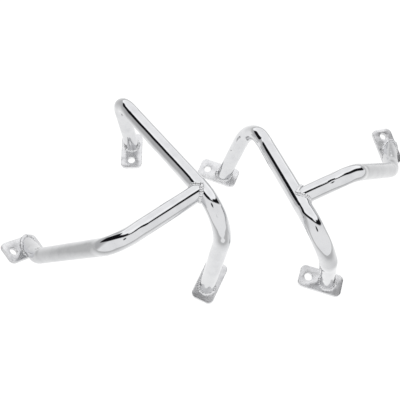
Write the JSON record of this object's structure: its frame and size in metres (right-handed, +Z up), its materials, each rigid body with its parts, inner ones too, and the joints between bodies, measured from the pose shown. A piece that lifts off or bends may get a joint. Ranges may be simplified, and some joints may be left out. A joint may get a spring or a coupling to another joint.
{
  "type": "motorcycle crash bar pair",
  "caption": "Pair of bent chromed tube crash bars for a motorcycle, each a hoop with a welded side brace and flat drilled mounting plates that bolt to the frame.",
  "frame": {"origin": "centre of the pair's bounding box in plan, on the floor that the mounting plates rest on", "axes": "+Z up from the floor; +Y away from the viewer, from the lower mounts towards the upper mounts; +X to the right, from the left bar towards the right bar"},
  "size_m": [0.6934, 0.3423, 0.2222],
  "materials": {
    "chromed_tube": "polished",
    "chromed_plate": "polished",
    "chromed_weld": "polished"
  },
  "bodies": {
    "root": {"left_hoop_tube": "chromed_tube", "left_brace_tube": "chromed_tube", "left_upper_plate": "chromed_plate", "left_lower_plate": "chromed_plate", "left_rear_plate": "chromed_plate", "left_upper_weld": "chromed_weld", "left_lower_weld": "chromed_weld", "left_rear_weld": "chromed_weld", "left_brace_weld": "chromed_weld", "right_hoop_tube": "chromed_tube", "right_brace_tube": "chromed_tube", "right_upper_plate": "chromed_plate", "right_lower_plate": "chromed_plate", "right_rear_plate": "chromed_plate", "right_upper_weld": "chromed_weld", "right_lower_weld": "chromed_weld", "right_rear_weld": "chromed_weld", "right_brace_weld": "chromed_weld"}
  },
  "joints": []
}
